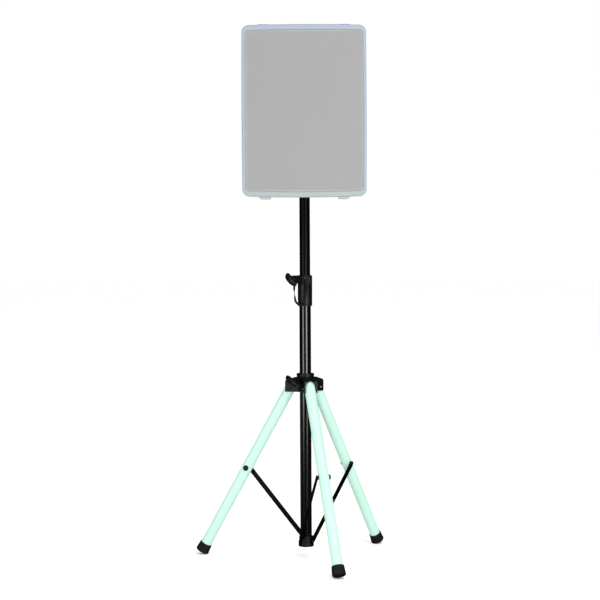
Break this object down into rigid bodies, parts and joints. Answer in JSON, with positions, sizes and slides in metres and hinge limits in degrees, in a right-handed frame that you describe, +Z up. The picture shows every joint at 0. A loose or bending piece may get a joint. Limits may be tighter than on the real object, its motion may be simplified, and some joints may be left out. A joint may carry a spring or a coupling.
{
  "type": "pa speaker on a tripod stand",
  "caption": "Loudspeaker cabinet on a height-adjustable pole with a folding tripod whose tubular legs are lit from inside; clamp knobs, safety pin on a strap, flat braces and rubber feet.",
  "frame": {"origin": "middle of the bounding box in plan, on the floor", "axes": "+Z up along the pole; the cabinet front faces -Y; +X to its right seen from the front"},
  "size_m": [0.6376, 0.646, 1.748],
  "materials": {
    "black_paint": "satin black powder coat",
    "black_plastic": "fine-textured black moulding",
    "rubber": "matt black",
    "grey_rubber": "matt grey",
    "steel": "bright zinc",
    "dark_steel": "black",
    "aluminium": "mill finish",
    "lit_tube": "translucent, lit from inside",
    "led_strip": "lit",
    "cabinet_plastic": "pale blue-grey moulding, fine texture",
    "grille_steel": "pale grey, perforated",
    "foam": "open-cell foam",
    "cone_paper": "pressed paper",
    "circuit_board": "solder mask",
    "webbing": "woven strap"
  },
  "bodies": {
    "lower_mast": {"outer_tube": "black_paint", "mast_end_plug": "black_plastic", "clamp_collar": "black_plastic", "lower_hub": "black_plastic", "strap_clip": "steel", "pin_strap": "webbing", "brace_pivot_bolt_front": "steel", "brace_pivot_bolt_right": "steel", "brace_pivot_bolt_left": "steel"},
    "inner_mast": {"inner_tube": "black_paint", "inner_tube_guide": "black_plastic"},
    "clamp_knob": {"clamp_knob": "black_plastic"},
    "safety_pin": {"safety_pin": "steel"},
    "leg_hub": {"leg_hub": "black_plastic", "power_inlet": "black_plastic", "leg_pivot_bolt_front": "steel", "leg_pivot_bolt_right": "steel", "leg_pivot_bolt_left": "steel"},
    "hub_knob": {"hub_knob": "black_plastic"},
    "leg_front": {"leg_tube_front": "lit_tube", "leg_spine_front": "aluminium", "led_strip_front": "led_strip", "leg_foot_front": "rubber", "brace_bolt_front": "black_plastic"},
    "brace_front": {"brace_bar_front": "black_paint"},
    "leg_right": {"leg_tube_right": "lit_tube", "leg_spine_right": "aluminium", "led_strip_right": "led_strip", "leg_foot_right": "rubber", "brace_bolt_right": "black_plastic"},
    "brace_right": {"brace_bar_right": "black_paint"},
    "leg_left": {"leg_tube_left": "lit_tube", "leg_spine_left": "aluminium", "led_strip_left": "led_strip", "leg_foot_left": "rubber", "brace_bolt_left": "black_plastic"},
    "brace_left": {"brace_bar_left": "black_paint"},
    "speaker": {"cabinet_foot_front_left": "grey_rubber", "cabinet_foot_front_right": "grey_rubber", "cabinet_foot_rear_left": "grey_rubber", "cabinet_foot_rear_right": "grey_rubber", "compression_driver": "dark_steel", "crossover_board": "circuit_board", "dust_cap": "cone_paper", "front_frame": "cabinet_plastic", "grille": "grille_steel", "grille_foam": "foam", "handle_cup_left": "black_plastic", "handle_cup_right": "black_plastic", "horn_flare": "black_plastic", "pole_socket": "black_plastic", "rear_shell": "cabinet_plastic", "speaker_socket_1": "black_plastic", "speaker_socket_2": "black_plastic", "stacking_rail_left": "cabinet_plastic", "stacking_rail_right": "cabinet_plastic", "terminal_plate": "black_plastic", "woofer_basket": "dark_steel", "woofer_cone": "cone_paper", "woofer_magnet": "dark_steel"}
  },
  "joints": [
    {"name": "height", "type": "slide", "parent": "lower_mast", "child": "inner_mast", "axis": [0, 0, 1], "range_m": [-0.2, 0.42]},
    {"name": "swivel", "type": "hinge", "parent": "inner_mast", "child": "speaker", "pos_m": [0.0504, 0.04137, 1.22], "axis": [0, 0, 1], "continuous": true},
    {"name": "clamp_turn", "type": "hinge", "parent": "lower_mast", "child": "clamp_knob", "pos_m": [0.0504, 0.04137, 0.9245], "axis": [-0.6884, -0.7254, 0], "range_deg": [0, 270]},
    {"name": "pin_pull", "type": "slide", "parent": "lower_mast", "child": "safety_pin", "axis": [0, -1, 0], "range_m": [0, 0.045]},
    {"name": "fold", "type": "slide", "parent": "lower_mast", "child": "leg_hub", "axis": [0, 0, 1], "range_m": [0, 0.10549]},
    {"name": "hub_clamp_turn", "type": "hinge", "parent": "leg_hub", "child": "hub_knob", "pos_m": [0.0504, 0.04137, 0.59242], "axis": [-0.6884, -0.7254, 0], "range_deg": [0, 270]},
    {"name": "leg_front_hinge", "type": "hinge", "parent": "leg_hub", "child": "leg_front", "pos_m": [0.06477, -0.00715, 0.56641], "axis": [0.9588, 0.284, 0], "range_deg": [0, 29.11]},
    {"name": "brace_front_hinge", "type": "hinge", "parent": "lower_mast", "child": "brace_front", "pos_m": [0.05211, 0.03562, 0.057], "axis": [-0.9588, -0.284, 0], "range_deg": [0, 30.96]},
    {"name": "leg_right_hinge", "type": "hinge", "parent": "leg_hub", "child": "leg_right", "pos_m": [0.08523, 0.07807, 0.56641], "axis": [-0.7254, 0.6884, 0], "range_deg": [0, 29.11]},
    {"name": "brace_right_hinge", "type": "hinge", "parent": "lower_mast", "child": "brace_right", "pos_m": [0.05453, 0.04572, 0.057], "axis": [0.7254, -0.6884, 0], "range_deg": [0, 30.96]},
    {"name": "leg_left_hinge", "type": "hinge", "parent": "leg_hub", "child": "leg_left", "pos_m": [0.0012, 0.05318, 0.56641], "axis": [-0.2334, -0.9724, 0], "range_deg": [0, 29.11]},
    {"name": "brace_left_hinge", "type": "hinge", "parent": "lower_mast", "child": "brace_left", "pos_m": [0.04457, 0.04277, 0.057], "axis": [0.2334, 0.9724, 0], "range_deg": [0, 30.96]}
  ],
  "couplings": [
    {"joint": "leg_front_hinge", "follows": "fold", "rad_per_m": 4.8146},
    {"joint": "brace_front_hinge", "follows": "fold", "rad_per_m": 5.1208},
    {"joint": "leg_right_hinge", "follows": "fold", "rad_per_m": 4.8146},
    {"joint": "brace_right_hinge", "follows": "fold", "rad_per_m": 5.1208},
    {"joint": "leg_left_hinge", "follows": "fold", "rad_per_m": 4.8146},
    {"joint": "brace_left_hinge", "follows": "fold", "rad_per_m": 5.1208}
  ]
}
